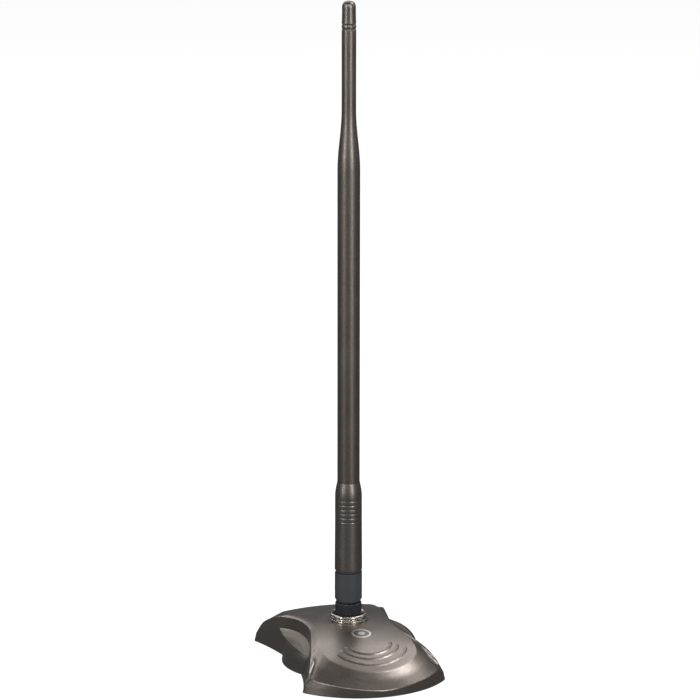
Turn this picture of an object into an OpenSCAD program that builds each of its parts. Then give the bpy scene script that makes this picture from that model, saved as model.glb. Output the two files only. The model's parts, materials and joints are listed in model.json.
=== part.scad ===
// Desktop omnidirectional antenna: a tapered rod on a folding, swivelling hinge, screwed to a
// jack in the middle of a weighted magnetic base.
// Origin: middle of the base, on the desk. +Z up, front of the base towards -Y.

/* [Mast] */
// Height of the tip above the desk
total_h = 317.3; // [312:0.1:322]
// Radius of the thin upper tube
thin_r = 3.36; // [3.2:0.01:3.5]
// Radius of the main tube
tube_r = 5.3; // [5.2:0.01:5.38]
// Wall of the tube
tube_wall = 1.1; // [0.9:0.05:1.2]
// Height where the taper ends and the thin tube starts
taper_top_z = 267; // [262:1:272]
// Height where the taper starts
taper_foot_z = 238; // [234:1:242]
// Radius of the handle sleeve at its top
sleeve_r = 6.38; // [6.3:0.01:6.45]
// Radius of the handle sleeve at its foot
sleeve_foot_r = 6.54; // [6.5:0.01:6.6]
// Height of the sleeve's shoulder
shoulder_z = 88.6; // [86:0.1:92]
// Number of grip grooves round the sleeve
grip_grooves = 6; // [3:1:8]

/* [Hinge] */
// Height of the fold axis
fold_z = 37.5; // [37.3:0.1:37.6]
// Radius of the hinge knuckle
knuckle_r = 6.5; // [6.4:0.05:6.6]
// Radius of the hinge pin
pin_r = 1.2; // [1.1:0.05:1.3]
// Half width of the tongue
tongue_half = 2.3; // [2.2:0.05:2.35]

/* [Connector] */
// Radius of the jack's barrel, over its thread
barrel_r = 3.17; // [3.15:0.01:3.175]
// Radius of the coupling nut's grip
nut_r = 6.27; // [6.1:0.01:6.3]
// Number of splines round the grip
spline_count = 36; // [24:2:40]
// Outer radius of the collar ring's flange
collar_r = 9.55; // [9.3:0.05:9.7]

/* [Base] */
// Height of the cover's crown
crown_z = 21.5; // [21.3:0.1:21.7]
// Radius of the crown's dome
dome_r = 160; // [150:1:170]
// Half width of the cover at its waist
waist_x = 20.6; // [20:0.1:21]
// Half depth of the cover from front to back
nose_y = 59.5; // [59.4:0.1:60]
// Radius of the round puck under the cover
puck_r = 31.9; // [31.5:0.1:32]
// Wall of the cover
cover_wall = 2; // [1.6:0.1:2.2]
// Gap between the skirt and the desk
skirt_gap = 0.3; // [0.2:0.05:0.5]

/* [Hidden] */
$fn = 64;

// Mast, from the tip down
cap_h = 13.7;
cap_foot_z = total_h - cap_h;
cap_spigot = 5.5;
cap_r = 3.2;
dome_h = 3.3;
dome_power = 2.7;
bead_groove_r = 3.09;
shoulder_h = 7.1;
sleeve_z = 45.6;
groove_pitch = 2.08;
groove_depth = 0.14;
groove_half = 0.5;
first_groove = 8.2;
tube_foot_z = 58;
taper_steps = 16;

// Feed and radiators inside the tube
coax_r = 0.9;
feed_z = 93;
wire_r = 0.8;
coil_r = 2.7;
coil_wire_r = 0.55;
coil_turns = 4;
coil_h = 12;
half_wave = 56;
radiator_z = [feed_z + 1.5, 136, 136 + coil_h, 136 + coil_h + half_wave];
coil_top_z = radiator_z[3] + coil_h;
spacer_z = [118, 176, 232];

// Hinge
knuckle_z = 30.1;
knuckle_top = 44.6;
knuckle_chamfer = 0.8;
flange_z = 44.9;
flange_r = 6.2;
tongue_r = 3.9;
slot_half = 2.75;
slot_back = 4.3;
slot_floor = 33.1;
fold_clear_r = 7.2;
pin_clear = 0.05;
pin_half = 5.9;
lead_y = -2.6;
lead_r = 1;

// Connector core
stem_r = 2.6;
stem_top = 33;
nose_z = 23.2;
nose_r = 2.3;
core_bore_r = 1.9;
core_step_z = 26.5;
running = 0.07;
clip_r = 3.1;
clip_groove_r = 2.2;
shoulder_ring_r = 3.6;

// Coupling nut
nut_z = 23;
nut_top = 29.5;
insert_r = 4.4;
insert_top = 28.8;

// Jack
jack_top = 26.4;
jack_bore_r = 2.4;
jack_bore_z = 23;
jack_core_r = 2.05;
jack_tail_z = 12.8;
contact_r = 0.46;
seat_z = 20.9;
seat_r = collar_r + 0.1;
under_seat_z = seat_z - cover_wall;

// Cover outline: half width of each level is its waist plus bend * y^2
ground_waist = 27.16;
ground_bend = 0.00456;
mid_waist = 22.9;
mid_bend = 0.0066;
lip_bend = 1 / 160;
panel_waist = 17.8;
corner_y = 41.8;
lip_corner_y = 42.6;
panel_corner_y = 31.5;
panel_nose_y = 52.5;
droop_start = 30;
droop = 0.0039;
nose_skirt_z = 3.73;
steps = 12;

// Puck, plate and weights
puck_top = 11.2;
puck_wall = 1.5;
puck_top_r = 30.4;
plate_z = 0.8;
plate_top = 2.6;
post_xy = [14, 16];
post_r = 2.6;
screw_r = 1.2;
screw_head_r = 2.4;
magnet_r = 18;
magnet_top = 7.2;
corner_pad_xy = [25, 37];
corner_pad_r = 3;
gland_z = 4.6;
gland_r = 3;
gland_h = 11;
gland_bore_r = 1.5;

// ---- Shapes used more than once ----

// A tube or washer standing on z0
module ring_at(z0, h, r_out, r_in) {
    translate([0, 0, z0])
        difference() {
            cylinder(h = h, r = r_out);
            translate([0, 0, -1]) cylinder(h = h + 2, r = r_in);
        }
}

// A round bar along X, centred on the fold axis
module fold_bar(half, r) {
    translate([-half, 0, fold_z]) rotate([0, 90, 0]) cylinder(h = 2 * half, r = r);
}

// The four mirrored places of [x, y]
module at_four(xy) {
    for (sx = [-1, 1], sy = [-1, 1]) translate([sx * xy[0], sy * xy[1], 0]) children();
}

// Faces that join loops of n points into a skin, closed by a fan at each end
function skin_faces(loops, n) = concat(
    [for (k = [0:loops - 2], i = [0:n - 1]) each
        let (a = 1 + k * n + i, b = 1 + k * n + (i + 1) % n)
        [[a, b, b + n], [a, b + n, a + n]]],
    [for (i = [0:n - 1]) [0, 1 + (i + 1) % n, 1 + i]],
    [for (i = [0:n - 1])
        let (last = 1 + (loops - 1) * n) [last + n, last + i, last + (i + 1) % n]]);

// ---- Base ----

// Height of the crown's surface
function crown(x, y) = crown_z - (x * x + y * y) / (2 * dome_r)
    - droop * pow(max(0, abs(y) - droop_start), 2);

// One quarter of a level: up the side from the waist, then round the arc to the nose
function quarter(waist, bend, cy, nose) =
    let (cx = waist + bend * cy * cy, d = nose - cy, r = (cx * cx + d * d) / (2 * d),
        sweep = asin(cx / r))
    concat([for (i = [0:steps - 1]) let (y = cy * i / steps) [waist + bend * y * y, y]],
        [for (i = [0:steps - 1]) let (t = sweep * (1 - i / steps))
            [r * sin(t), nose - r + r * cos(t)]]);

// A whole level from its quarter
function level(q, nose) = let (n = len(q)) concat(
    q, [[0, nose]],
    [for (i = [n - 1:-1:0]) [-q[i][0], q[i][1]]],
    [for (i = [1:n - 1]) [-q[i][0], -q[i][1]]],
    [[0, -nose]],
    [for (i = [n - 1:-1:1]) [q[i][0], -q[i][1]]]);

function outline(waist, bend, cy, nose) = level(quarter(waist, bend, cy, nose), nose);

// Height of the lip at the side, and of the skirt's top edge at the nose
lip_corner = waist_x + lip_bend * lip_corner_y * lip_corner_y;
function lip_z(x, y) = crown(x, y) - 0.9 - 3.2 * pow(max(0, abs(y) - 30) / 12.6, 2);
corner_z = lip_z(lip_corner, lip_corner_y);
function skirt_z(x) = nose_skirt_z + (corner_z - nose_skirt_z) * pow(x / lip_corner, 2);
function edge_z(p) = abs(p[1]) <= lip_corner_y ? lip_z(p[0], p[1]) : skirt_z(p[0]);
function mid_z(p) = abs(p[1]) <= corner_y ? 15.1 - 0.0062 * p[1] * p[1]
    : 2 + 2.3 * pow(p[0] / 34.4, 2);

// The cover's levels, each in by w, from the crown's middle down to the desk
function panel_levels(w) = [for (f = [0.35, 0.6, 0.8, 1])
    [for (p = outline(panel_waist - w / 2, lip_bend, panel_corner_y, panel_nose_y - w / 2))
        let (x = p[0] * f, y = p[1] * f) [x, y, crown(x, y) - w]]];
function rolled_level(w) =
    [for (p = outline(waist_x - 1.3 - w, lip_bend, lip_corner_y - 0.9 - w, nose_y - 1.6 - w))
        [p[0], p[1], edge_z(p) + 0.8 - w]];
function lip_level(w) =
    [for (p = outline(waist_x - w, lip_bend, lip_corner_y - w, nose_y - 0.5 - w))
        [p[0], p[1], edge_z(p) - w / 2]];
function mid_level(w) =
    [for (p = outline(mid_waist - w, mid_bend, corner_y - w, nose_y - 0.2 - w))
        [p[0], p[1], mid_z(p)]];
function ground_level(w) =
    [for (p = outline(ground_waist - w, ground_bend, corner_y - w, nose_y - w))
        [p[0], p[1], skirt_gap]];

module cover_shell() {
    w = cover_wall;
    up = concat([ground_level(w), mid_level(w), lip_level(w)],
        [for (k = [3:-1:0]) panel_levels(w)[k]]);
    levels = concat(panel_levels(0), [rolled_level(0), lip_level(0), mid_level(0),
        ground_level(0)], up);
    points = concat([[0, 0, crown_z]], [for (l = levels) each l], [[0, 0, crown_z - w]]);
    polyhedron(points, skin_faces(len(levels), len(levels[0])), convexity = 6);
}

// The shelf over the puck on one side, thin at both ends
ledge_y = 21.4;
ledge_steps = 12;
module side_ledge() {
    sections = [for (i = [0:ledge_steps])
        let (y = ledge_y * (2 * i / ledge_steps - 1), f = 1 - pow(y / ledge_y, 2),
            edge = 26.7 + 2.3 * f, top = 12 + 0.7 * f, root = 25 - 3.3 * f)
        [[root, y, top + 2 * f + 0.2], [edge, y, top], [edge - 0.1, y, top - 0.9],
            [root, y, top - 0.9]]];
    points = [for (s = sections) each s];
    n = ledge_steps * 4;
    sides = [for (k = [0:ledge_steps - 1], j = [0:3]) each
        let (a = k * 4 + j, b = k * 4 + (j + 1) % 4) [[a, b + 4, b], [a, a + 4, b + 4]]];
    polyhedron(points, concat(sides, [[0, 1, 2, 3]], [[n + 3, n + 2, n + 1, n]]), convexity = 4);
}

// The arched openings that the puck bulges through
module side_openings() {
    translate([-60, 0, 0]) rotate([90, 0, 90]) linear_extrude(120)
        polygon([[-15.1, -1], [15.1, -1], [21, 11.6], [-21, 11.6]]);
    translate([0, 0, -1]) cylinder(h = 12.6, r = puck_r + 0.2);
}

module top_cover() {
    color("dimgray")
    difference() {
        union() {
            difference() {
                cover_shell();
                side_openings();
            }
            side_ledge();
            mirror([1, 0, 0]) side_ledge();
            at_four(post_xy) translate([0, 0, puck_top]) cylinder(h = 7.6, r = post_r);
            at_four(corner_pad_xy) translate([0, 0, 1]) cylinder(h = 12, r = corner_pad_r);
            translate([0, 0, under_seat_z]) cylinder(h = cover_wall, r = seat_r + 1);
        }
        translate([0, 0, seat_z]) cylinder(h = 5, r = seat_r);
        translate([0, 0, under_seat_z - 1]) cylinder(h = 5, r = barrel_r + 0.13);
        translate([0, 0, under_seat_z - 4]) cylinder(h = 4, r = 6);
        at_four(post_xy) cylinder(h = 15, r = screw_r);
        translate([0, nose_y + 2, gland_z]) rotate([90, 0, 0]) cylinder(h = 12, r = gland_r);
    }
}

module base_housing() {
    inner = puck_r - puck_wall - 0.6;
    color("dimgray")
    difference() {
        union() {
            rotate_extrude($fn = 96) polygon([[6, puck_top], [puck_top_r - 1.4, puck_top],
                [puck_top_r - 0.4, puck_top - 0.4], [puck_top_r, puck_top - 1.4],
                [puck_r, skirt_gap], [inner, skirt_gap], [inner - 0.6, puck_top - puck_wall],
                [6, puck_top - puck_wall]]);
            at_four(post_xy) translate([0, 0, plate_top])
                cylinder(h = puck_top - plate_top, r = post_r);
        }
        at_four(post_xy) translate([0, 0, -1]) cylinder(h = 15, r = screw_r + 0.15);
    }
}

module bottom_plate() {
    color("black")
    difference() {
        translate([0, 0, plate_z]) cylinder(h = plate_top - plate_z, r = 29.4);
        at_four(post_xy) cylinder(h = 5, r = screw_r + 0.1);
        at_four(post_xy) cylinder(h = 2, r = screw_head_r + 0.1);
    }
}

module base_pad() {
    color("darkslategray") cylinder(h = plate_z, r = 29);
}

module corner_pads() {
    color("darkslategray") at_four(corner_pad_xy) cylinder(h = 1, r = corner_pad_r);
}

module ring_magnet() {
    color("silver") ring_at(plate_top, magnet_top - plate_top, magnet_r, 8);
}

module magnet_yoke() {
    color("gainsboro") ring_at(magnet_top, 2.5, magnet_r, 5);
}

module ballast_ring() {
    color("gray") ring_at(plate_top, 6.6, 28.8, 24.1);
}

module base_screws() {
    color("lightgray") at_four(post_xy) {
        translate([0, 0, 0.9]) cylinder(h = 1.1, r = screw_head_r);
        translate([0, 0, 1.5]) cylinder(h = 13, r = screw_r);
    }
}

module cable_grommet() {
    color("black")
    translate([0, nose_y - 0.2, gland_z]) rotate([90, 0, 0])
        difference() {
            union() {
                cylinder(h = gland_h, r = gland_r);
                translate([0, 0, gland_h - 1.2]) cylinder(h = 1.2, r = gland_r + 0.8);
            }
            translate([0, 0, -1]) cylinder(h = 12, r = gland_bore_r);
        }
}

// Polished collar: floor, flange, groove and rounded rim
module collar_ring() {
    rim_r = 0.85;
    rim_z = 23.4;
    color("silver")
    difference() {
        rotate_extrude($fn = 96) {
            polygon([[barrel_r + 0.13, seat_z], [collar_r - 0.3, seat_z], [collar_r, seat_z + 0.3],
                [collar_r, seat_z + 0.7], [collar_r - 0.4, seat_z + 1.05], [8.2, seat_z + 1.1],
                [8.2, rim_z], [6.9, rim_z], [6.9, seat_z + 0.5], [barrel_r + 0.13, seat_z + 0.5]]);
            translate([8.1, rim_z]) circle(r = rim_r, $fn = 24);
        }
        translate([0, 0, seat_z + 0.5]) cylinder(h = 5, r = 6.9);
    }
}

// ---- Jack ----

module jack_body() {
    color("gold")
    difference() {
        union() {
            translate([0, 0, jack_tail_z]) cylinder(h = jack_top - jack_tail_z - 0.4, r = 2.7);
            translate([0, 0, under_seat_z - 0.5]) cylinder(h = jack_top - under_seat_z + 0.1, r = barrel_r);
            translate([0, 0, jack_top - 0.4]) cylinder(h = 0.4, r1 = barrel_r, r2 = barrel_r - 0.4);
            translate([0, 0, 16.4]) cylinder(h = under_seat_z - 0.5 - 16.4, r = 4.6, $fn = 6);
        }
        translate([0, 0, jack_tail_z - 1]) cylinder(h = jack_bore_z - jack_tail_z + 2, r = jack_core_r);
        translate([0, 0, jack_bore_z]) cylinder(h = 5, r = jack_bore_r);
    }
}

module jack_insulator() {
    color("white") ring_at(jack_tail_z, jack_bore_z - jack_tail_z, jack_core_r, contact_r);
}

module jack_pin() {
    color("gold") {
        translate([0, 0, 11.8]) cylinder(h = 13, r = contact_r);
        translate([0, 0, 24.8]) cylinder(h = 0.4, r1 = contact_r, r2 = 0.2);
    }
}

module jack_nut() {
    color("silver")
    translate([0, 0, seat_z + 0.5])
        difference() {
            cylinder(h = 1.4, r = 4.62, $fn = 6);
            translate([0, 0, -1]) cylinder(h = 4, r = barrel_r);
        }
}

module jack_washer() {
    color("silver") ring_at(under_seat_z - 0.5, 0.5, 4.9, barrel_r);
}

// ---- Connector core and coupling nut ----

module connector_core() {
    color("gold")
    rotate_extrude() polygon([[core_bore_r, nose_z], [nose_r, nose_z], [nose_r, core_step_z],
        [stem_r, core_step_z], [stem_r, 27], [clip_groove_r, 27], [clip_groove_r, 27.5],
        [stem_r, 27.5], [stem_r, 29], [shoulder_ring_r, 29], [shoulder_ring_r, 29.95],
        [stem_r, 29.95], [stem_r, 32.25], [clip_groove_r, 32.25], [clip_groove_r, 32.8],
        [stem_r, 32.8], [stem_r, stem_top], [1, stem_top], [1, 28.4], [core_bore_r, 28.4]]);
}

module core_insulator() {
    color("white") ring_at(23.5, 4.9, core_bore_r, 0.75);
}

module core_socket() {
    color("gold")
    difference() {
        translate([0, 0, 23.4]) cylinder(h = 7.6, r = 0.75);
        translate([0, 0, 23]) cylinder(h = 2.8, r = contact_r + 0.04);
    }
}

module nut_clip() {
    color("gold") ring_at(27, 0.5, clip_r, clip_groove_r);
}

module stem_clip() {
    color("silver") ring_at(32.25, 0.55, 3.4, clip_groove_r);
}

module swivel_washer() {
    color("ivory") ring_at(29.95, 0.6, 3.9, stem_r);
}

module nut_grip() {
    spline = 0.18;
    n = 4 * spline_count;
    color("black")
    difference() {
        union() {
            translate([0, 0, nut_z]) linear_extrude(nut_top - nut_z - 0.5)
                polygon([for (i = [0:n - 1]) let (r = nut_r - ((i % 4) < 2 ? 0 : spline))
                    [r * cos(360 * i / n), r * sin(360 * i / n)]]);
            translate([0, 0, nut_top - 0.5]) cylinder(h = 0.5, r1 = nut_r - spline, r2 = nut_r - 0.35);
        }
        translate([0, 0, nut_z - 1]) cylinder(h = 9, r = insert_r);
    }
}

module nut_insert() {
    color("goldenrod")
    rotate_extrude() polygon([[barrel_r + 0.05, nut_z], [insert_r, nut_z], [insert_r, insert_top],
        [stem_r + running, insert_top], [stem_r + running, 27.6], [barrel_r + 0.05, 27.6]]);
}

// ---- Hinge ----

// Cylinder with a slot for the tongue, open at the top and the back
module hinge_knuckle() {
    color("darkslategray")
    difference() {
        union() {
            translate([0, 0, knuckle_z + 1.5])
                cylinder(h = knuckle_top - knuckle_z - 1.8, r = knuckle_r);
            translate([0, 0, knuckle_z]) cylinder(h = 1.5, r1 = knuckle_r - knuckle_chamfer, r2 = knuckle_r);
            translate([0, 0, knuckle_top - 0.3]) cylinder(h = 0.3, r1 = knuckle_r, r2 = knuckle_r - 0.3);
        }
        translate([-slot_half, -slot_back, slot_floor]) cube([2 * slot_half, 20, 20]);
        difference() {
            translate([-10, 0, fold_z]) cube([20, 10, 10]);
            fold_bar(11, fold_clear_r);
        }
        fold_bar(10, pin_r);
        cylinder(h = 40, r = stem_r + running);
        cylinder(h = knuckle_z + 0.5, r = 4);
        translate([0, 0, 32.2]) cylinder(h = 1, r = 3.6);
    }
}

module hinge_pin() {
    color("silver") fold_bar(pin_half, pin_r);
}

module hinge_washers() {
    color("ivory")
    for (s = [-1, 1]) translate([s * (slot_half + tongue_half) / 2, 0, 0])
        difference() {
            fold_bar(0.2, 3.4);
            fold_bar(1, pin_r);
        }
}

// Round-ended tongue under a flange, with a spigot that plugs the handle
module hinge_tongue() {
    color("darkslategray")
    difference() {
        union() {
            fold_bar(tongue_half, tongue_r);
            translate([-tongue_half, -tongue_r, fold_z])
                cube([2 * tongue_half, 2 * tongue_r, flange_z - fold_z + 0.1]);
            translate([0, 0, flange_z]) cylinder(h = sleeve_z - flange_z, r = flange_r);
            translate([0, 0, sleeve_z - 0.1]) cylinder(h = 10.5, r = 5);
        }
        fold_bar(10, pin_r + pin_clear);
        translate([0, lead_y, 30]) cylinder(h = 30, r = lead_r);
    }
}

// ---- Mast ----

function groove(z, r) = [[r, z + groove_half], [r - groove_depth, z + 0.15],
    [r - groove_depth, z - 0.15], [r, z - groove_half]];

module lower_sleeve() {
    steps_up = 8;
    profile = concat(
        [for (i = [0:steps_up]) let (s = i / steps_up)
            [tube_r + 0.06 + (sleeve_r - tube_r - 0.06) * sin(90 * s), shoulder_z - shoulder_h * s]],
        [for (i = [0:grip_grooves - 1]) each
            groove(shoulder_z - first_groove - groove_pitch * i, sleeve_r + 0.01)],
        [[sleeve_foot_r, sleeve_z + 1], [sleeve_foot_r, sleeve_z + 0.2],
            [sleeve_foot_r - 0.2, sleeve_z], [5, sleeve_z], [5, 56], [2, 56],
            [2, tube_foot_z], [tube_r, tube_foot_z], [tube_r, shoulder_z]]);
    color("gray") rotate_extrude() polygon(profile);
}

// Cosine blend from the thin tube to the main tube
function taper_r(z) = thin_r + (tube_r - thin_r)
    * (1 - cos(180 * (taper_top_z - z) / (taper_top_z - taper_foot_z))) / 2;

module radome_tube() {
    taper = [for (i = [0:taper_steps])
        let (z = taper_top_z + (taper_foot_z - taper_top_z) * i / taper_steps) [taper_r(z), z]];
    outside = concat([[thin_r, cap_foot_z]], taper, [[tube_r, tube_foot_z]]);
    inside = [for (i = [len(outside) - 1:-1:0]) [outside[i][0] - tube_wall, outside[i][1]]];
    color("gray") rotate_extrude() polygon(concat(outside, inside));
}

module tip_cap() {
    dome_steps = 8;
    groove_z = [0.8, 2.9];
    neck = [for (z = groove_z) each [[thin_r, cap_foot_z + z - 0.55], [bead_groove_r, cap_foot_z + z - 0.2],
        [bead_groove_r, cap_foot_z + z + 0.2], [thin_r, cap_foot_z + z + 0.55]]];
    dome = [for (i = [0:dome_steps - 1]) let (s = sin(90 * i / dome_steps))
        [cap_r * pow(1 - pow(s, dome_power), 1 / dome_power), total_h - dome_h + dome_h * s]];
    color("gray")
    rotate_extrude() polygon(concat([[0, cap_foot_z - cap_spigot],
        [thin_r - tube_wall, cap_foot_z - cap_spigot], [thin_r - tube_wall, cap_foot_z],
        [thin_r, cap_foot_z]], neck, dome, [[0, total_h]]));
}

module feed_coax() {
    color("peru") translate([0, 0, 56]) cylinder(h = feed_z - 56 - 3, r = coax_r);
}

module balun_sleeve() {
    color("goldenrod")
    difference() {
        translate([0, 0, 62]) cylinder(h = feed_z - 62 - 3, r = 3.6);
        translate([0, 0, 61]) cylinder(h = feed_z - 62 - 3, r = 3.1);
        cylinder(h = 100, r = coax_r);
    }
}

// Insulating bead between the feed and the first radiator
module feed_bead() {
    color("white") translate([0, 0, feed_z - 3]) cylinder(h = 4.5, r = 2.4);
}

module radiator(z0, z1) {
    color("goldenrod") translate([0, 0, z0]) cylinder(h = z1 - z0, r = wire_r);
}

module lower_radiator() {
    radiator(radiator_z[0], radiator_z[1]);
}

module middle_radiator() {
    radiator(radiator_z[2], radiator_z[3]);
}

module upper_radiator() {
    radiator(coil_top_z, 262);
}

// A coil of round wire between two end discs that take the straight wires
module phasing_coil(z0) {
    rings = 16 * coil_turns;
    sides = 8;
    disc = 1;
    rise = (coil_h - 2 * disc - 2 * coil_wire_r) / rings;
    centre = [0, 0, z0 + disc + coil_wire_r];
    loops = [for (k = [0:rings]) [for (j = [0:sides - 1])
        let (a = 360 * k / 16, b = 360 * j / sides, r = coil_r + coil_wire_r * cos(b))
        centre + [r * cos(a), r * sin(a), rise * k + coil_wire_r * sin(b)]]];
    first = centre + [coil_r, 0, 0];
    last = centre + [coil_r, 0, rise * rings];
    color("goldenrod") {
        translate([0, 0, z0]) cylinder(h = disc, r = coil_r + coil_wire_r);
        translate([0, 0, z0 + coil_h - disc]) cylinder(h = disc, r = coil_r + coil_wire_r);
        polyhedron(concat([first], [for (l = loops) each l], [last]),
            skin_faces(rings + 1, sides), convexity = 10);
    }
}

module lower_coil() {
    phasing_coil(radiator_z[1]);
}

module upper_coil() {
    phasing_coil(radiator_z[3]);
}

module radiator_spacers() {
    color("white") for (z = spacer_z) ring_at(z, 4, tube_r - tube_wall, wire_r);
}

top_cover();
base_housing();
bottom_plate();
base_pad();
corner_pads();
ring_magnet();
magnet_yoke();
ballast_ring();
base_screws();
cable_grommet();
collar_ring();
jack_body();
jack_insulator();
jack_pin();
jack_nut();
jack_washer();
connector_core();
core_insulator();
core_socket();
nut_clip();
stem_clip();
swivel_washer();
nut_grip();
nut_insert();
hinge_knuckle();
hinge_pin();
hinge_washers();
hinge_tongue();
lower_sleeve();
radome_tube();
tip_cap();
feed_coax();
balun_sleeve();
feed_bead();
lower_radiator();
lower_coil();
middle_radiator();
upper_coil();
upper_radiator();
radiator_spacers();
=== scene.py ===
import json
import math

import bmesh
import bpy
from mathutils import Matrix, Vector


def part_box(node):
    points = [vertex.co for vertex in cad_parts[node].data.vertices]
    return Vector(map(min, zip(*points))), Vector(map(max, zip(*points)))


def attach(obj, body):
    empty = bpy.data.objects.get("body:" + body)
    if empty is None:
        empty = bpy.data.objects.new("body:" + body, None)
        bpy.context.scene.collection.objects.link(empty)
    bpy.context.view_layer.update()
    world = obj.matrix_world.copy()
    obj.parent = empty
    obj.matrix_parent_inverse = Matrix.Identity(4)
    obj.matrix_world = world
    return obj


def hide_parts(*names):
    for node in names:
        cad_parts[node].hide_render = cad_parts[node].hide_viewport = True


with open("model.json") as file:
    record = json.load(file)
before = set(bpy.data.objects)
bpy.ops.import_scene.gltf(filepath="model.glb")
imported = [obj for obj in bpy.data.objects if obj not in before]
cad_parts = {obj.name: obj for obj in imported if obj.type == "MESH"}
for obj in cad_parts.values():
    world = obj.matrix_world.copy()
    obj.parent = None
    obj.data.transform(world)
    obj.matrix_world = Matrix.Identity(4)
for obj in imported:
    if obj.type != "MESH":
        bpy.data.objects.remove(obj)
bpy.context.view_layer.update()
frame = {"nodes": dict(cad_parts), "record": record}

MM = 0.001
NODES = frame["nodes"]


# ---------------------------------------------------------------- sizes from the frame, in mm

def low(node):
    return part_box(node)[0] / MM


def high(node):
    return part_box(node)[1] / MM


CROWN_Z = high("top_cover").z
NOSE_Y = high("top_cover").y
SKIRT_GAP = low("top_cover").z
PUCK_R = high("base_housing").x
PUCK_TOP = high("base_housing").z
COLLAR_R = high("collar_ring").x
COLLAR_TOP = high("collar_ring").z
SEAT_Z = low("collar_ring").z
NUT_R = high("nut_grip").x
NUT_Z = low("nut_grip").z
NUT_TOP = high("nut_grip").z
NUT_BORE_R = high("nut_insert").x
KNUCKLE_R = high("hinge_knuckle").x
KNUCKLE_Z = low("hinge_knuckle").z
KNUCKLE_TOP = high("hinge_knuckle").z
PIN_HALF = high("hinge_pin").x
PIN_R = high("hinge_pin").y
FOLD_Z = (low("hinge_pin").z + high("hinge_pin").z) / 2
SLEEVE_FOOT_R = high("lower_sleeve").x
SLEEVE_Z = low("lower_sleeve").z
SHOULDER_Z = high("lower_sleeve").z
TUBE_R = high("radome_tube").x
TUBE_FOOT_Z = low("radome_tube").z
TUBE_TOP_Z = high("radome_tube").z
THIN_R = high("tip_cap").x
TIP_Z = high("tip_cap").z
CAP_SPIGOT_Z = low("tip_cap").z
SPIGOT_TOP = high("hinge_tongue").z


# ---------------------------------------------------------------- camera, lights and floor

CAM_DISTANCE = 1.70
CAM_HEIGHT = 0.5526
CAM_HEADING = 17.066
CAM_PITCH = 13.241
CAM_PAN = -0.0076
CAM_ROLL = 0.06
CAM_LENS = 191.4


def make_camera():
    data = bpy.data.cameras.new("camera")
    data.lens = CAM_LENS
    data.sensor_width = 36
    data.clip_start = 0.01
    data.clip_end = 20
    cam = bpy.data.objects.new("camera", data)
    bpy.context.collection.objects.link(cam)
    heading = math.radians(CAM_HEADING)
    cam.location = (-math.sin(heading) * CAM_DISTANCE, -math.cos(heading) * CAM_DISTANCE, CAM_HEIGHT)
    cam.rotation_euler = (math.radians(90 - CAM_PITCH), math.radians(-CAM_ROLL),
                          -heading + math.radians(CAM_PAN))
    bpy.context.scene.camera = cam


def softbox(name, azimuth, height, distance, size, power, aim_z):
    """A rectangular soft light; azimuth 0 is at the object's front and 90 at its right."""
    data = bpy.data.lights.new(name, "AREA")
    data.shape = "RECTANGLE"
    data.size, data.size_y = size
    data.energy = power
    lamp = bpy.data.objects.new(name, data)
    bpy.context.collection.objects.link(lamp)
    a = math.radians(azimuth)
    lamp.location = (math.sin(a) * distance, -math.cos(a) * distance, height)
    aim = Vector((0, 0, aim_z)) - lamp.location
    lamp.rotation_euler = aim.to_track_quat("-Z", "Y").to_euler()


def make_studio():
    scene = bpy.context.scene
    scene.view_settings.view_transform = "Standard"
    world = bpy.data.worlds.new("studio")
    world.use_nodes = True
    back = world.node_tree.nodes["Background"]
    back.inputs["Color"].default_value = (1, 1, 1, 1)
    back.inputs["Strength"].default_value = 0.1
    scene.world = world
    softbox("left_strip", -64, 0.5, 1.2, (0.12, 0.85), 5.5, 0.18)
    softbox("right_strip", 17, 0.48, 1.3, (0.14, 0.9), 7.5, 0.18)
    softbox("band_light", 202, 0.75, 1.15, (0.25, 0.2), 1.8, 0.02)
    softbox("side_strip", 80, 0.7, 1.2, (0.25, 0.6), 1.6, 0.1)
    softbox("rear_strip", 262, 0.8, 1.1, (0.3, 0.6), 2, 0.1)
    softbox("right_key", 92, 1.1, 0.6, (0.35, 0.35), 4.5, 0.02)
    softbox("back_key", 163, 1.3, 1.1, (1.6, 0.9), 8, 0.02)
    softbox("front_line", -17, 0.9, 1.1, (1.2, 0.12), 5, 0.02)
    floor_mesh = bpy.data.meshes.new("floor")
    floor = bpy.data.objects.new("floor", floor_mesh)
    bpy.context.collection.objects.link(floor)
    half = 6.0
    floor_mesh.from_pydata([(-half, -half, 0), (half, -half, 0), (half, half, 0), (-half, half, 0)],
                           [], [(0, 1, 2, 3)])
    mat = bpy.data.materials.new("floor")
    mat.use_nodes = True
    shader = mat.node_tree.nodes["Principled BSDF"]
    shader.inputs["Base Color"].default_value = (0.25, 0.25, 0.25, 1)
    shader.inputs["Roughness"].default_value = 1.0
    shader.inputs["Specular IOR Level"].default_value = 0
    shader.inputs["Emission Color"].default_value = (1, 1, 1, 1)
    shader.inputs["Emission Strength"].default_value = 0.93
    floor_mesh.materials.append(mat)
    floor.visible_glossy = False


# ---------------------------------------------------------------- materials

def new_material(name, color, roughness, metallic=0.0):
    mat = bpy.data.materials.new(name)
    mat.use_nodes = True
    shader = mat.node_tree.nodes["Principled BSDF"]
    shader.inputs["Base Color"].default_value = (*color, 1)
    shader.inputs["Roughness"].default_value = roughness
    shader.inputs["Metallic"].default_value = metallic
    return mat, mat.node_tree, shader


def node(tree, kind, **values):
    """A new shader node with constants set on its sockets."""
    made = tree.nodes.new(kind)
    for key, value in values.items():
        made.inputs[key].default_value = value
    return made


def noise(tree, coord, scale, detail=2.0):
    made = node(tree, "ShaderNodeTexNoise", Scale=scale, Detail=detail)
    tree.links.new(coord.outputs["Object"], made.inputs["Vector"])
    return made.outputs["Fac"]


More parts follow.
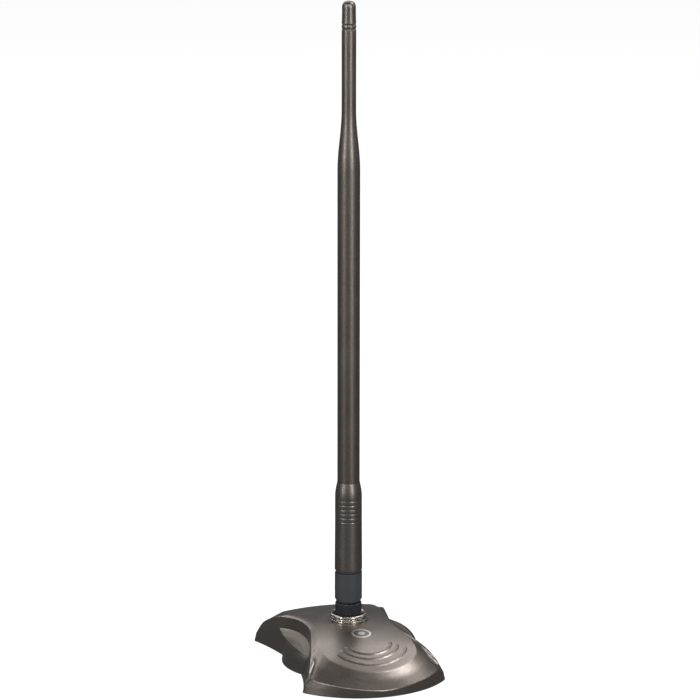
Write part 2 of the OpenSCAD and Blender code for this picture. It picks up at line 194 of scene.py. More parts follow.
def ramp(tree, value, stops):
    made = tree.nodes.new("ShaderNodeValToRGB")
    elements = made.color_ramp.elements
    while len(elements) < len(stops):
        elements.new(0.5)
    for element, (place, color) in zip(elements, stops):
        element.position = place
        element.color = (*color, 1)
    tree.links.new(value, made.inputs["Fac"])
    return made.outputs["Color"]


NOISE_LOW, NOISE_HIGH = 0.3, 0.7


def spread(tree, value, low_value, high_value):
    """Maps most of a noise's range on to a range of values."""
    made = tree.nodes.new("ShaderNodeMapRange")
    made.inputs["From Min"].default_value = NOISE_LOW
    made.inputs["From Max"].default_value = NOISE_HIGH
    made.inputs["To Min"].default_value = low_value
    made.inputs["To Max"].default_value = high_value
    tree.links.new(value, made.inputs["Value"])
    return made.outputs["Result"]


def bump(tree, shader, height, distance, strength=1.0):
    made = node(tree, "ShaderNodeBump", Strength=strength, Distance=distance)
    tree.links.new(height, made.inputs["Height"])
    tree.links.new(made.outputs["Normal"], shader.inputs["Normal"])


def metallic_paint(name, flake_scale, roughness, painted_shade_scale):
    """Bronze paint: fine metal flake under a satin lacquer; its colour is scaled down to paint shade into
    it.
    """
    mat, tree, shader = new_material(name, (0.2, 0.18, 0.155), roughness, 0.95)
    shader.inputs["Coat Weight"].default_value = 0.12
    shader.inputs["Coat Roughness"].default_value = 0.25
    coord = tree.nodes.new("ShaderNodeTexCoord")
    flake = noise(tree, coord, flake_scale, 1.0)
    blotch = noise(tree, coord, flake_scale / 40, 3.0)
    # The colour scale below paints shade into the paint; it is lowest on the mast's copy.
    stops = [(at, tuple(c * level * painted_shade_scale for c in (1.0, 0.876, 0.788)))
             for at, level in ((0.3, 0.195), (0.5, 0.245), (0.7, 0.37))]
    tree.links.new(ramp(tree, flake, stops), shader.inputs["Base Color"])
    tree.links.new(spread(tree, blotch, roughness - 0.03, roughness + 0.04), shader.inputs["Roughness"])
    bump(tree, shader, flake, 0.00002, 0.35)
    return mat


def moulded_plastic(name, color, roughness, grain_scale=2500):
    mat, tree, shader = new_material(name, color, roughness)
    coord = tree.nodes.new("ShaderNodeTexCoord")
    grain = noise(tree, coord, grain_scale, 3.0)
    cloud = noise(tree, coord, 60, 2.0)
    dark = tuple(c * 0.85 for c in color)
    light = tuple(min(1, c * 1.2) for c in color)
    tree.links.new(ramp(tree, cloud, [(0.3, dark), (0.7, light)]), shader.inputs["Base Color"])
    tree.links.new(spread(tree, grain, roughness - 0.06, roughness + 0.08), shader.inputs["Roughness"])
    bump(tree, shader, grain, 0.00002, 0.6)
    return mat


def bright_metal(name, color, roughness, scratch_scale=900):
    mat, tree, shader = new_material(name, color, roughness, 1.0)
    coord = tree.nodes.new("ShaderNodeTexCoord")
    wear = noise(tree, coord, scratch_scale, 4.0)
    cloud = noise(tree, coord, 120, 2.0)
    dark = tuple(c * 0.82 for c in color)
    tree.links.new(ramp(tree, cloud, [(0.35, dark), (0.6, color)]), shader.inputs["Base Color"])
    tree.links.new(spread(tree, wear, roughness * 0.7, roughness * 1.4), shader.inputs["Roughness"])
    return mat


def make_materials():
    return {
        "base_paint": metallic_paint("base_paint", 4200, 0.34, 0.9),
        # The mast's copy of the bronze paint is darker than the base's: painted shade on the mast.
        "mast_paint": metallic_paint("mast_paint", 4200, 0.4, 0.7),
        "dark_plastic": moulded_plastic("dark_plastic", (0.03, 0.034, 0.037), 0.5),
        "grip_plastic": moulded_plastic("grip_plastic", (0.012, 0.013, 0.015), 0.4),
        "rubber": moulded_plastic("rubber", (0.02, 0.02, 0.021), 0.75, 1500),
        "magnet": bright_metal("magnet", (0.45, 0.44, 0.43), 0.3),
        "steel": bright_metal("steel", (0.5, 0.5, 0.51), 0.32),
        "polished_ring": bright_metal("polished_ring", (0.5, 0.46, 0.42), 0.26),
        "gilt_brass": bright_metal("gilt_brass", (0.85, 0.62, 0.25), 0.22),
        "white_insulator": moulded_plastic("white_insulator", (0.75, 0.74, 0.7), 0.45),
        "brass": bright_metal("brass", (0.7, 0.5, 0.2), 0.3),
        "lead_jacket": moulded_plastic("lead_jacket", (0.22, 0.1, 0.04), 0.4),
        "silver_print": bright_metal("silver_print", (0.75, 0.74, 0.72), 0.35),
    }


# ---------------------------------------------------------------- mesh helpers

WELD = 1e-7


def add_piece(name, verts, faces, body, material, nodes=(), angle=32):
    """A mesh piece from points in mm, welded, shaded smooth except at edges sharper than angle."""
    mesh = bpy.data.meshes.new(name)
    mesh.from_pydata([Vector(v) * MM for v in verts], [], faces)
    work = bmesh.new()
    work.from_mesh(mesh)
    bmesh.ops.remove_doubles(work, verts=work.verts, dist=WELD)
    bmesh.ops.dissolve_degenerate(work, dist=WELD, edges=work.edges)
    bmesh.ops.recalc_face_normals(work, faces=work.faces)
    work.to_mesh(mesh)
    work.free()
    return finish_piece(name, mesh, body, material, nodes, angle)


def finish_piece(name, mesh, body, material, nodes=(), angle=32):
    mesh.shade_smooth()
    mesh.set_sharp_from_angle(angle=math.radians(angle))
    mesh.materials.clear()
    mesh.materials.append(material)
    piece = bpy.data.objects.new(name, mesh)
    bpy.context.collection.objects.link(piece)
    flatten_normals(piece)
    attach(piece, body)
    if nodes:
        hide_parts(*nodes)
    return piece


def flatten_normals(piece):
    """Lets big faces keep their own normal, so a small fillet stays a crisp edge."""
    mod = piece.modifiers.new("normals", "WEIGHTED_NORMAL")
    mod.weight = 50
    mod.keep_sharp = True
    bake(piece)


def curve_point(a, control, b, t):
    """A point of the quadratic curve from a to b."""
    return a * (1 - t) ** 2 + control * 2 * t * (1 - t) + b * t ** 2


def fillet_path(points, cuts, steps=4, closed=False):
    """The path through points with each corner i rounded from cuts[i] before it to cuts[i] after."""
    made = []
    count = len(points)
    for i, p in enumerate(points):
        p = Vector(p)
        inner = closed or 0 < i < count - 1
        if not inner or cuts[i] <= 0:
            made.append(p)
            continue
        before = Vector(points[i - 1]) - p
        after = Vector(points[(i + 1) % count]) - p
        a = p + before.normalized() * min(cuts[i], before.length * 0.49)
        b = p + after.normalized() * min(cuts[i], after.length * 0.49)
        made += [curve_point(a, p, b, k / steps) for k in range(steps + 1)]
    return made


def strips(rows, closed_columns=False):
    """Points and quads of a grid of closed rows of points."""
    width = len(rows[0])
    verts = [p for row in rows for p in row]
    faces = []
    last = len(rows) if closed_columns else len(rows) - 1
    for k in range(last):
        for i in range(width):
            j = (i + 1) % width
            a, b = k * width, ((k + 1) % len(rows)) * width
            faces.append((a + i, a + j, b + j, b + i))
    return verts, faces


def lathe_points(profile, segments=128):
    """A closed profile of (radius, z) turned round Z."""
    rows = [[(r * math.cos(2 * math.pi * i / segments), r * math.sin(2 * math.pi * i / segments), z)
             for i in range(segments)] for r, z in profile]
    return strips(rows, closed_columns=True)


def lathe(name, profile, cuts, body, material, nodes=(), segments=128, angle=32, steps=4):
    path = [(p.x, p.y) for p in fillet_path([(r, z, 0) for r, z in profile], cuts, steps, closed=True)]
    verts, faces = lathe_points(path, segments)
    return add_piece(name, verts, faces, body, material, nodes, angle)


# ---------------------------------------------------------------- base cover

HOLE_R = 3.3
SEAT_R = COLLAR_R + 0.1
WALL = 2.0
# The top panel's dome, and how its front and back droop below it
DOME_R = 160.0
DROOP_START = 30.0
DROOP = 0.0039
# Outlines seen from above; each has its half width at the waist, its corner and its nose
PANEL = dict(waist=17.8, bend=1 / 160, corner=31.5, nose=52.5, cut=9.0)
LIP = dict(waist=20.6, bend=1 / 148, corner=42.6, nose=NOSE_Y - 0.15, cut=4.5)
GROUND = dict(waist=27.16, bend=0.00456, corner=41.8, nose=NOSE_Y - 0.55, cut=0.8)
# The lip bulges at the front left, and lies below the panel's dome
LIP_SWELL = 1.2
LIP_SWELL_END = 44.0
LIP_DROP = 0.9
LIP_FALL_START = 30.0
LIP_FALL_RUN = LIP["corner"] - LIP_FALL_START
LIP_FALL = 3.2
# Top of the skirt at the middle of the nose
NOSE_SKIRT_Z = 3.73
# The level where the cove meets the ledge
MID_NOSE = NOSE_Y - 0.35
MID_WAIST = 21.8
MID_CORNER_X = 34.3
MID_CUT = 1.2
MID_SLOPE = 0.37
ARCH_Z = 15.1
ARCH_FALL = 0.0062
ARCH_DIP = 1.4
# The ledge in each side's recess, from its widest at the waist to its tips
TIP_Y = 24.0
TIP_X = 27.2
LEDGE_TIP_Z = ARCH_Z - ARCH_FALL * TIP_Y ** 2
LEDGE_X = 30.4
LEDGE_RISE = 1.6
LEDGE_THICK = 0.85
GUTTER_PLACE = 0.8
GUTTER_DEPTH = 2.6
LEDGE_POINTS = 11
# The feet stop here, and the round housing shows between them
OPEN_Y = 16.5
OPEN_T = OPEN_Y / (GROUND["corner"] - MID_CUT)
PUCK_CLEAR = PUCK_R + 0.15
ARCH_COLUMNS = 22
FOOT_COLUMNS = 28
CORNER_COLUMNS = 14
NOSE_COLUMNS = 60
# Where a column crosses the panel, close together over the waves
PANEL_STOPS = [0, 0.1, 0.2, 0.3, 0.38, 0.44] + [0.46 + 0.45 * i / 58 for i in range(59)] \
    + [0.93, 0.95, 0.97]
# Radius of each wave and how far it reaches round, in degrees
WAVE_CENTRE_Y = 29.3
WAVES = [(11.2, 75), (14.5, 69), (18.5, 65)]
WAVE_HEIGHT = 0.32
WAVE_HALF = 0.85
BADGE_Y = -20.8


def smooth(t):
    t = min(1.0, max(0.0, t))
    return t * t * (3 - 2 * t)


def crown(x, y):
    return CROWN_Z - (x * x + y * y) / (2 * DOME_R) - DROOP * max(0.0, abs(y) - DROOP_START) ** 2


def wave(x, y):
    """Height of the raised waves on the front of the panel, which faces -Y."""
    along, total = -y - WAVE_CENTRE_Y, 0.0
    radius = math.hypot(x, along)
    angle = abs(math.degrees(math.atan2(x, along)))
    for ring, reach in WAVES:
        t = (radius - ring) / WAVE_HALF
        if abs(t) < 1 and angle < reach + 5:
            crest = 0.25
            side = smooth((t + 1) / (1 + crest)) if t < crest else smooth((1 - t) / (1 - crest))
            total += WAVE_HEIGHT * side * smooth((reach + 4 - angle) / 8)
    return total


def lip_height(x, y):
    return crown(x, y) - LIP_DROP - LIP_FALL * (max(0.0, abs(y) - LIP_FALL_START) / LIP_FALL_RUN) ** 2


LIP_CORNER_X = LIP["waist"] + LIP["bend"] * LIP["corner"] ** 2
CORNER_Z = lip_height(LIP_CORNER_X, LIP["corner"])


def edge_height(x, y):
    """Height of the cover's edge: the lip along the side, the skirt's top round the nose."""
    side = lip_height(x, min(abs(y), LIP["corner"]))
    skirt = NOSE_SKIRT_Z + (CORNER_Z - NOSE_SKIRT_Z) * (x / LIP_CORNER_X) ** 1.5
    return side + (skirt - side) * smooth((abs(y) - LIP["corner"] + 2.5) / 3.5)


def nose_arc(half_width, depth):
    """Radius and half angle of the arc that is depth high over a chord of twice half_width."""
    radius = (half_width ** 2 + depth ** 2) / (2 * depth)
    return radius, math.asin(half_width / radius)


def nose_point(nose_y, radius, angle):
    return Vector((radius * math.sin(angle), nose_y - radius + radius * math.cos(angle)))


def plan_point(level, column, swell=0.0):
    """Where a column of the first quarter crosses a level, seen from above."""
    kind, t = column
    corner, cut = level["corner"], level["cut"]
    corner_x = level["waist"] + level["bend"] * corner ** 2
    radius, sweep = nose_arc(corner_x, level["nose"] - corner)

    def side(y):
        bulge = swell * math.sin(math.pi * min(1, y / LIP_SWELL_END)) ** 2
        return Vector((level["waist"] + level["bend"] * y * y + bulge, y))

    if kind == "side":
        return side(t * (corner - cut))
    if kind == "nose":
        return nose_point(level["nose"], radius, (sweep - cut / radius) * (1 - t))
    start, end = side(corner - cut), nose_point(level["nose"], radius, sweep - cut / radius)
    return curve_point(start, Vector((corner_x, corner)), end, t)


def mid_side(y):
    """Plan of the mid level along the side: round the ledge, then out along the foot."""
    if y <= TIP_Y:
        return Vector((MID_WAIST + (TIP_X - MID_WAIST) * (y / TIP_Y) ** 2.2, y))
    run = GROUND["corner"] - TIP_Y
    bend = (MID_CORNER_X - TIP_X - MID_SLOPE * run) / run ** 2
    return Vector((TIP_X + MID_SLOPE * (y - TIP_Y) + bend * (y - TIP_Y) ** 2, y))


def mid_point(column):
    """The level where the cove meets the ledge, and part way down the feet and the skirt."""
    kind, t = column
    corner = GROUND["corner"]
    radius, sweep = nose_arc(MID_CORNER_X, MID_NOSE - corner)
    if kind == "side":
        flat = mid_side(t * (corner - MID_CUT))
    elif kind == "nose":
        flat = nose_point(MID_NOSE, radius, (sweep - MID_CUT / radius) * (1 - t))
    else:
        start, end = mid_side(corner - MID_CUT), nose_point(MID_NOSE, radius, sweep - MID_CUT / radius)
        flat = curve_point(start, Vector((MID_CORNER_X, corner)), end, t)
    along = ARCH_Z - ARCH_FALL * min(flat.y, corner) ** 2
    along -= ARCH_DIP * max(0, 1 - (flat.y / TIP_Y) ** 2)
    round_nose = 2 + 2.3 * (flat.x / MID_CORNER_X) ** 2
    z = along + (round_nose - along) * smooth((flat.y - corner + 2) / 3)
    return Vector((flat.x, flat.y, z))


def ground_point(column):
    kind, t = column
    flat = plan_point(GROUND, column)
    if kind == "side":
        y = t * (GROUND["corner"] - MID_CUT)
        flat = Vector((GROUND["waist"] + GROUND["bend"] * y * y, y))
    return Vector((flat.x, flat.y, SKIRT_GAP))


def inward(point, amount, drop=0.0, clear=0.0):
    """A point moved towards the mast's axis and down, no nearer to the axis than clear."""
    flat = Vector((point.x, point.y))
    step = min(amount, flat.length - clear) if clear else amount
    flat = flat * (1 - step / flat.length)
    return Vector((flat.x, flat.y, point.z - drop))


def panel_rows(edge, sideways):
    """Points of a column across the top panel, from the collar's seat to the panel's edge."""
    flat = Vector((edge.x, edge.y))
    out = flat.normalized()
    reach = flat.length
    stops = [SEAT_R + (reach - SEAT_R) * t for t in PANEL_STOPS]
    made = []
    for r in stops:
        x, y = out.x * r, out.y * r
        made.append(Vector((x, y, crown(x, y) + wave(x * sideways[0], y * sideways[1]))))
    return made


def ledge_path(mid, ground):
    """Out over the ledge's gutter to its edge and back under it; ends on the foot's surface."""
    made = [mid]
    if mid.y < TIP_Y:
        f = 1 - (mid.y / TIP_Y) ** 2
        full = min(1, f * 4)
        edge = Vector((TIP_X + (LEDGE_X - TIP_X) * f, mid.y, LEDGE_TIP_Z + LEDGE_RISE * f))
        under = edge + Vector((-0.2, 0, -LEDGE_THICK)) * full
        root = mid.lerp(ground, (mid.z - under.z + 0.02) / (mid.z - ground.z))
        cut = 0.4 * full
        gutter = mid.lerp(edge, GUTTER_PLACE) - Vector((0, 0, GUTTER_DEPTH * f))
        made = fillet_path([mid, gutter, edge, under, root], [0, 0, cut, cut / 2, 0], 3)
    return made + [made[-1]] * (LEDGE_POINTS - len(made))


def cover_column(column, mirror):
    """Outer and inner points of one column of the cover; arch columns end at the ledge."""
    kind, t = column
    panel_xy = plan_point(PANEL, column)
    lip_xy = plan_point(LIP, column, LIP_SWELL if mirror == (-1, -1) else 0)
    panel = Vector((*panel_xy, crown(*panel_xy)))
    lip = Vector((*lip_xy, edge_height(*lip_xy)))
    mid, ground = mid_point(column), ground_point(column)
    outward = Vector((*panel_xy, 0)).normalized()
    seat = [Vector((0, 0, SEAT_Z)) + outward * r for r in (HOLE_R, SEAT_R - 0.25, SEAT_R)]
    rows = panel_rows(panel, mirror)
    swell = panel.lerp(lip, 0.5)
    swell.z += 0.25 + 0.2 * (smooth((t - 0.4) / 0.6) if kind == "side" else 1)
    rise = min(1.0, (lip - panel).length / 5)
    path = fillet_path([rows[-1], panel, swell, lip, mid], [0, 0.7 * rise, 1.6, 0.35, 0], 5)
    upper = seat + rows[:-1] + path
    in_mid = inward(mid, 1.8, 0.4)
    in_lip = inward(lip, WALL, WALL * 0.7)
    in_panel = inward(panel, 1.2, WALL)
    deep = Vector((0, 0, SEAT_Z - WALL))
    inner_top = [in_lip, in_panel, inward(in_panel, in_panel.xy.length * 0.3, -1.0),
                 outward * (SEAT_R + 1) + deep, outward * HOLE_R + deep]
    ledge = ledge_path(mid, ground)
    return upper, ledge, foot_path(ledge[-1], ground, in_mid), inner_top


def foot_path(root, ground, in_mid):
    """Down the outside of a foot or skirt, under its edge and up the inside."""
    foot = inward(ground, 1.7, 0, PUCK_CLEAR)
    thick = (ground - foot).length
    down = [root.lerp(ground, k / 6) for k in range(6)]
    rim = fillet_path([down[-1], ground, foot], [0, min(0.35, thick * 0.3), 0], 3)
    low_in = foot.lerp(in_mid, 0.5)
    outer = root.lerp(ground, (root.z - low_in.z) / (root.z - ground.z)).xy.length
    reach = min(PUCK_CLEAR, outer - 0.5)
    if low_in.xy.length < reach and low_in.z < PUCK_TOP + 0.3:
        flat = low_in.xy.normalized() * reach
        low_in = Vector((flat.x, flat.y, low_in.z))
    return down[:-1] + rim + [low_in, in_mid]


def quarter_columns():
    made = [("side", OPEN_T * i / ARCH_COLUMNS) for i in range(ARCH_COLUMNS + 1)]
    made += [("side", OPEN_T + (1 - OPEN_T) * i / FOOT_COLUMNS) for i in range(1, FOOT_COLUMNS)]
    made += [("corner", i / CORNER_COLUMNS) for i in range(CORNER_COLUMNS + 1)]
    made += [("nose", i / NOSE_COLUMNS) for i in range(1, NOSE_COLUMNS + 1)]
    return made


def flip(points, sx, sy):
    return [Vector((p.x * sx, p.y * sy, p.z)) for p in points]


def cover_mesh():
    verts, faces = [], []

    def sheet(columns):
        """Quads between neighbouring columns of points."""
        start = len(verts)
        width = len(columns[0])
        for col in columns:
            verts.extend(col)
        for k in range(len(columns) - 1):
            for i in range(width - 1):
                a, b = start + k * width + i, start + (k + 1) * width + i
                faces.append((a, b, b + 1, a + 1))

    for sx in (1, -1):
        for sy in (1, -1):
            uppers, ledges, arches, feet, inners = [], [], [], [], []
            for column in quarter_columns():
                upper, ledge, foot, inner = cover_column(column, (sx, sy))
                uppers.append(flip(upper, sx, sy))
                ledges.append(flip(ledge, sx, sy))
                inners.append(flip(foot[-1:] + inner, sx, sy))
                open_side = column[0] == "side" and column[1] <= OPEN_T + 1e-6
                if open_side:
                    arches.append(flip([foot[0], foot[-1]], sx, sy))
                if not open_side or column[1] > OPEN_T - 1e-6:
                    if not feet:
                        edge_strip(verts, faces, flip(foot, sx, sy))
                    feet.append(flip(foot, sx, sy))
            for group in (uppers, ledges, arches, feet, inners):
                sheet(group)
    hole_wall(verts, faces)
    return verts, faces


def edge_strip(verts, faces, loop):
    """Closes the free edge of a foot, whose outline goes down the outside and up the inside."""
    start = len(verts)
    verts.extend(loop)
    count = len(loop)
    i, j = 0, count - 1
    while j - i > 1:
        if (i + (count - 1 - j)) % 2 == 0 or j - i == 2:
            faces.append((start + i, start + i + 1, start + j))
            i += 1
        else:
            faces.append((start + i, start + j - 1, start + j))
            j -= 1


def hole_wall(verts, faces):
    """The bore of the hole for the jack, joining the seat to the underside."""
    columns = []
    for sx, sy, order in ((1, 1, 1), (-1, 1, -1), (-1, -1, 1), (1, -1, -1)):
        part = []
        for column in quarter_columns():
            flat = plan_point(PANEL, column)
            out = Vector((flat.x * sx, flat.y * sy)).normalized() * HOLE_R
            part.append(out)
        columns += part[::order]
    start = len(verts)
    for out in columns:
        verts.append(Vector((out.x, out.y, SEAT_Z)))
        verts.append(Vector((out.x, out.y, SEAT_Z - WALL)))
    count = len(columns)
    for k in range(count):
        a, b = start + 2 * k, start + 2 * ((k + 1) % count)
        if (verts[a] - verts[b]).length > 1e-6:
            faces.append((a, b, b + 1, a + 1))


def make_cover(mats):
    verts, faces = cover_mesh()
    add_piece("cover", verts, faces, "base", mats["base_paint"], ["top_cover"], 24)


def make_badge(mats):
    """A plain printed ring and dot on the panel, in front of the collar."""
    verts, faces = [], []
    count, lift, depth = 64, 0.06, 0.25
    for inner, outer in ((3.7, 4.7), (0.0, 1.7)):
        start = len(verts)
        for z in (lift, -depth):
            for r in (inner, outer):
                for i in range(count):
                    a = 2 * math.pi * i / count
                    x, y = r * math.cos(a), BADGE_Y + r * math.sin(a)
                    verts.append((x, y, crown(x, y) + z))
        for k, m in ((0, 1), (1, 3), (3, 2), (2, 0)):
            for i in range(count):
                j = (i + 1) % count
                faces.append([start + k * count + i, start + k * count + j,
                              start + m * count + j, start + m * count + i])
    add_piece("badge", verts, faces, "base", mats["silver_print"], (), 40)


def make_puck(mats):
    """The round housing that bulges out under the cover's ledges."""
    wall, top_r = 1.5, PUCK_R - 3.0
    profile = [(6, PUCK_TOP), (top_r, PUCK_TOP), (PUCK_R - 1.1, PUCK_TOP - 3.5), (PUCK_R, SKIRT_GAP),
               (PUCK_R - wall - 0.6, SKIRT_GAP), (top_r - wall, PUCK_TOP - wall), (6, PUCK_TOP - wall)]
    lathe("puck", profile, [0.3, 1.6, 2.2, 0.4, 0.3, 0.5, 0.3], "base", mats["base_paint"],
          ["base_housing"], 192, steps=6)


# ---------------------------------------------------------------- collar, connector and hinge

def make_collar(mats):
    floor_z, step_z = SEAT_Z + 0.5, SEAT_Z + 1.1
    rim_z, rim_mid, rim_r = COLLAR_TOP - 0.85, 8.1, 0.85
    rim = [(rim_mid + rim_r * math.cos(a), rim_z + rim_r * math.sin(a))
           for a in [math.radians(-70 + 10 * k) for k in range(26)]]
    profile = [(HOLE_R, SEAT_Z), (COLLAR_R, SEAT_Z), (COLLAR_R, step_z), (8.25, step_z),
               (8.1, rim_z - 0.95)] + rim + [(6.9, rim_z - 0.5), (6.9, floor_z), (HOLE_R, floor_z)]
    cuts = [0, 0.2, 0.28, 0.25, 0.15] + [0] * len(rim) + [0, 0.3, 0]
    lathe("collar", profile, cuts, "base", mats["polished_ring"], ["collar_ring"],
          160, 40)


SPLINES = 36
SPLINE_DEPTH = 0.2


def make_grip(mats):
    """The coupling nut's grip: rounded splines that run out under a smooth top rim."""
    per = 8
    count = SPLINES * per
    levels = [(NUT_Z, -0.25, 0), (NUT_Z + 0.25, 0, 0), (NUT_Z + 0.5, 0, 1), (NUT_TOP - 0.55, 0, 1),
              (NUT_TOP - 0.45, 0, 1.3), (NUT_TOP - 0.25, -0.05, 1.6), (NUT_TOP, -0.3, 1.5)]
    rows = []
    for z, inset, depth in levels:
        row = []
        for i in range(count):
            a = 2 * math.pi * i / count
            valley = (0.5 - 0.5 * math.cos(2 * math.pi * i / per)) ** 1.6
            r = NUT_R + inset - SPLINE_DEPTH * depth * valley
            row.append((r * math.cos(a), r * math.sin(a), z))
        rows.append(row)
    for r, z in [(NUT_BORE_R + 0.2, NUT_TOP), (NUT_BORE_R, NUT_TOP - 0.2), (NUT_BORE_R, NUT_Z + 0.2),
                 (NUT_BORE_R + 0.2, NUT_Z)]:
        rows.append([(r * math.cos(2 * math.pi * i / count), r * math.sin(2 * math.pi * i / count), z)
                     for i in range(count)])
    verts, faces = strips(rows, closed_columns=True)
    add_piece("grip", verts, faces, "coupling_nut", mats["grip_plastic"],
              ["nut_grip"], 40)


def solid(name, verts, faces):
    mesh = bpy.data.meshes.new(name)
    mesh.from_pydata([Vector(v) * MM for v in verts], [], faces)
    work = bmesh.new()
    work.from_mesh(mesh)
    bmesh.ops.recalc_face_normals(work, faces=work.faces)
    work.to_mesh(mesh)
    work.free()
    made = bpy.data.objects.new(name, mesh)
    bpy.context.collection.objects.link(made)
    return made


def turned(name, profile, segments=96):
    """A solid of revolution whose profile starts and ends on the axis."""
    rows = [[(r * math.cos(2 * math.pi * i / segments), r * math.sin(2 * math.pi * i / segments), z)
             for i in range(segments)] for r, z in profile[1:-1]]
    verts, faces = strips(rows)
    for end, row in ((profile[0], 0), (profile[-1], len(rows) - 1)):
        centre = len(verts)
        verts.append((0, 0, end[1]))
        for i in range(segments):
            faces.append((centre, row * segments + i, row * segments + (i + 1) % segments))
    return solid(name, verts, faces)


def block(name, lo, hi):
    verts = [(x, y, z) for x in (lo[0], hi[0]) for y in (lo[1], hi[1]) for z in (lo[2], hi[2])]
    faces = [(0, 1, 3, 2), (4, 6, 7, 5), (0, 4, 5, 1), (2, 3, 7, 6), (0, 2, 6, 4), (1, 5, 7, 3)]
    return solid(name, verts, faces)


def lay_along_x(made):
    """Turns a body that was built round Z, so that it lies along X on the fold axis."""
    for v in made.data.vertices:
        x, y, z = v.co
        v.co = (z, y, FOLD_Z * MM - x)
    return made


def bar_x(name, half, r):
    """A round bar along X on the fold axis."""
    return lay_along_x(turned(name, [(0, -half), (r, -half), (r, half), (0, half)]))


def combine(target, tool, how):
    mod = target.modifiers.new("bool", "BOOLEAN")
    mod.operation = how
    mod.solver = "EXACT"
    mod.object = tool
    bake(target)
    bpy.data.objects.remove(tool)


def bake(target):
    """Replaces an object's mesh by its mesh with modifiers applied."""
    graph = bpy.context.evaluated_depsgraph_get()
    graph.update()
    mesh = bpy.data.meshes.new_from_object(target.evaluated_get(graph))
    target.modifiers.clear()
    target.data = mesh


def soften(target, width):
    mod = target.modifiers.new("bevel", "BEVEL")
    mod.width = width * MM
    mod.segments = 3
    mod.limit_method = "ANGLE"
    mod.angle_limit = math.radians(35)
    mod.harden_normals = False
    bake(target)


def keep(target, name, body, material, nodes, angle=30):
    mesh = target.data
    bpy.data.objects.remove(target)
    return finish_piece(name, mesh, body, material, nodes, angle)


SLOT_HALF = 2.75
SLOT_BACK = 4.3
SLOT_FLOOR = KNUCKLE_Z + 3.0
FOLD_CLEAR_R = 7.2
STEM_BORE_R = 2.67


def make_knuckle(mats):
    chamfer = 0.8
    body = turned("knuckle_body", [(0, KNUCKLE_Z), (KNUCKLE_R - chamfer, KNUCKLE_Z),
                                   (KNUCKLE_R, KNUCKLE_Z + 1.5), (KNUCKLE_R, KNUCKLE_TOP),
                                   (0, KNUCKLE_TOP)])
    combine(body, block("slot", (-SLOT_HALF, -SLOT_BACK, SLOT_FLOOR), (SLOT_HALF, 12, 60)), "DIFFERENCE")
    relief = block("relief", (-10, 0, FOLD_Z), (10, 12, 60))
    combine(relief, bar_x("relief_bar", 12, FOLD_CLEAR_R), "DIFFERENCE")
    combine(body, relief, "DIFFERENCE")
    soften(body, 0.22)
    combine(body, bar_x("pin_hole", 10, PIN_R), "DIFFERENCE")
    bore = turned("bore", [(0, 20), (STEM_BORE_R, 20), (STEM_BORE_R, 40), (0, 40)])
    combine(body, bore, "DIFFERENCE")
    washer_seat = turned("seat", [(0, 20), (4, 20), (4, KNUCKLE_Z + 0.5), (0, KNUCKLE_Z + 0.5)])
    combine(body, washer_seat, "DIFFERENCE")
    keep(body, "knuckle", "knuckle", mats["dark_plastic"], ["hinge_knuckle"])


def make_tongue(mats):
    tongue_half, tongue_r, flange_z, flange_r = 2.3, 3.9, SLEEVE_Z - 0.7, 6.2
    body = bar_x("tongue_round", tongue_half, tongue_r)
    combine(body, block("tongue_block", (-tongue_half, -tongue_r, FOLD_Z),
                        (tongue_half, tongue_r, flange_z + 0.3)), "UNION")
    soften(body, 0.2)
    flange = turned("flange", [(0, flange_z), (flange_r - 0.15, flange_z), (flange_r, flange_z + 0.15),
                               (flange_r, SLEEVE_Z), (5, SLEEVE_Z), (5, SPIGOT_TOP), (0, SPIGOT_TOP)])
    combine(body, flange, "UNION")
    combine(body, bar_x("pin_bore", 10, PIN_R + 0.05), "DIFFERENCE")
    lead = turned("lead", [(0, 20), (1, 20), (1, 70), (0, 70)], 48)
    for v in lead.data.vertices:
        v.co.y -= 2.6 * MM
    combine(body, lead, "DIFFERENCE")
    keep(body, "tongue", "mast", mats["dark_plastic"], ["hinge_tongue"])


def make_pin(mats):
    """The hinge pin, with softly domed ends."""
    profile = [(0, -PIN_HALF), (PIN_R - 0.4, -PIN_HALF), (PIN_R - 0.1, -PIN_HALF + 0.1),
               (PIN_R, -PIN_HALF + 0.35), (PIN_R, PIN_HALF - 0.35), (PIN_R - 0.1, PIN_HALF - 0.1),
               (PIN_R - 0.4, PIN_HALF), (0, PIN_HALF)]
    pin = lay_along_x(turned("pin_body", profile, 48))
    keep(pin, "pin", "knuckle", mats["steel"], ["hinge_pin"])


# ---------------------------------------------------------------- mast

SLEEVE_R = 6.38
GROOVES = 6
GROOVE_PITCH = 2.08
FIRST_GROOVE = 8.2
GROOVE_DEPTH = 0.09
GRIP_FOOT_Z = 67.5
SLEEVE_BORE_TOP = 56
TUBE_WALL = 1.1
TAPER_TOP, TAPER_FOOT = 267.0, 238.0
THIN_START = 285


def groove(z, r, half, depth):
    """A rounded groove, going down."""
    made = []
    for k in range(9):
        t = -1 + k / 4
        made.append((r - depth * (0.5 + 0.5 * math.cos(math.pi * t)), z - half * t))
    return made


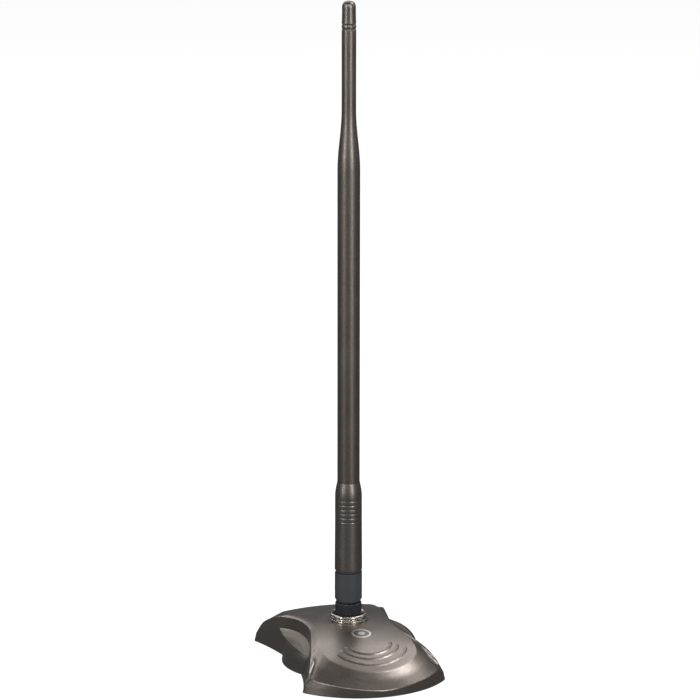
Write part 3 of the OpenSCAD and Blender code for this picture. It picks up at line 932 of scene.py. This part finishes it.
def make_sleeve(mats):
    shoulder, top_r = 7.1, TUBE_R + 0.1
    outside = []
    for k in range(15):
        s = k / 14
        outside.append((top_r + (SLEEVE_R - top_r) * math.sin(math.pi / 2 * s), SHOULDER_Z - shoulder * s))
    for k in range(GROOVES):
        outside += groove(SHOULDER_Z - FIRST_GROOVE - GROOVE_PITCH * k, SLEEVE_R + 0.01, 0.4, GROOVE_DEPTH)
    outside += [(SLEEVE_R + 0.02, GRIP_FOOT_Z), (SLEEVE_FOOT_R, SLEEVE_Z + 1.5)]
    outside += [(SLEEVE_FOOT_R - 0.3 * (1 - math.cos(a)), SLEEVE_Z + 0.3 - 0.3 * math.sin(a))
                for a in [math.pi / 2 * k / 5 for k in range(6)]]
    inside = [(5, SLEEVE_Z), (5, SLEEVE_BORE_TOP), (2, SLEEVE_BORE_TOP), (2, TUBE_FOOT_Z),
              (TUBE_R, TUBE_FOOT_Z), (TUBE_R, SHOULDER_Z - 0.1), (TUBE_R + 0.04, SHOULDER_Z)]
    verts, faces = lathe_points(outside + inside, 128)
    add_piece("sleeve", verts, faces, "mast", mats["mast_paint"], ["lower_sleeve"], 40)


def taper_r(z):
    """Radius of the tube in its taper, which eases from the thin end to the full tube."""
    share = (TAPER_TOP - z) / (TAPER_TOP - TAPER_FOOT)
    return THIN_R + (TUBE_R - THIN_R) * (1 - math.cos(math.pi * share)) / 2


def make_tube(mats):
    outside = [(THIN_R - 0.06, TUBE_TOP_Z), (THIN_R, TUBE_TOP_Z - 0.1)]
    outside += [(THIN_R, TUBE_TOP_Z - 8), (THIN_R - 0.03, THIN_START)]
    steps = 40
    outside += [(taper_r(TAPER_TOP + (TAPER_FOOT - TAPER_TOP) * k / steps),
                 TAPER_TOP + (TAPER_FOOT - TAPER_TOP) * k / steps) for k in range(steps + 1)]
    outside += [(TUBE_R, TAPER_FOOT - 15 * k) for k in range(1, 12)] + [(TUBE_R, TUBE_FOOT_Z)]
    inside = [(r - TUBE_WALL, z) for r, z in reversed(outside)]
    verts, faces = lathe_points(outside + inside, 128)
    add_piece("tube", verts, faces, "mast", mats["mast_paint"], ["radome_tube"], 40)


def make_tip(mats):
    foot = TUBE_TOP_Z
    spigot_r = THIN_R - TUBE_WALL
    dome_h, cap_r, power = 3.3, 3.2, 2.7
    outside = [(spigot_r - 0.15, CAP_SPIGOT_Z), (spigot_r, CAP_SPIGOT_Z + 0.15), (spigot_r, foot),
               (THIN_R - 0.06, foot), (THIN_R, foot + 0.1)]
    for z in (0.8, 2.9):
        outside += [(r, foot + z - (zz - foot - z)) for r, zz in groove(foot + z, THIN_R, 0.6, 0.27)]
    outside += [(THIN_R - 0.05, foot + 3.9), (cap_r + 0.07, foot + 4.6), (cap_r, foot + 8)]
    steps = 14
    outside += [(cap_r * (1 - math.sin(math.pi / 2 * k / steps) ** power) ** (1 / power),
                 TIP_Z - dome_h + dome_h * math.sin(math.pi / 2 * k / steps)) for k in range(steps)]
    cap = turned("cap_body", [(0, CAP_SPIGOT_Z)] + outside + [(0, TIP_Z)], 96)
    keep(cap, "cap", "mast", mats["mast_paint"], ["tip_cap"], 40)


# ---------------------------------------------------------------- carried-over nodes

def dress_nodes(mats):
    """Gives every CAD node its slot's material."""
    for row in frame["record"]["subparts"]:
        data = NODES[row["node"]].data
        data.materials.clear()
        data.materials.append(mats[row["material_slot"]])


def main():
    make_camera()
    make_studio()
    mats = make_materials()
    dress_nodes(mats)
    make_cover(mats)
    make_badge(mats)
    make_puck(mats)
    make_collar(mats)
    make_grip(mats)
    make_knuckle(mats)
    make_tongue(mats)
    make_pin(mats)
    make_sleeve(mats)
    make_tube(mats)
    make_tip(mats)


main()
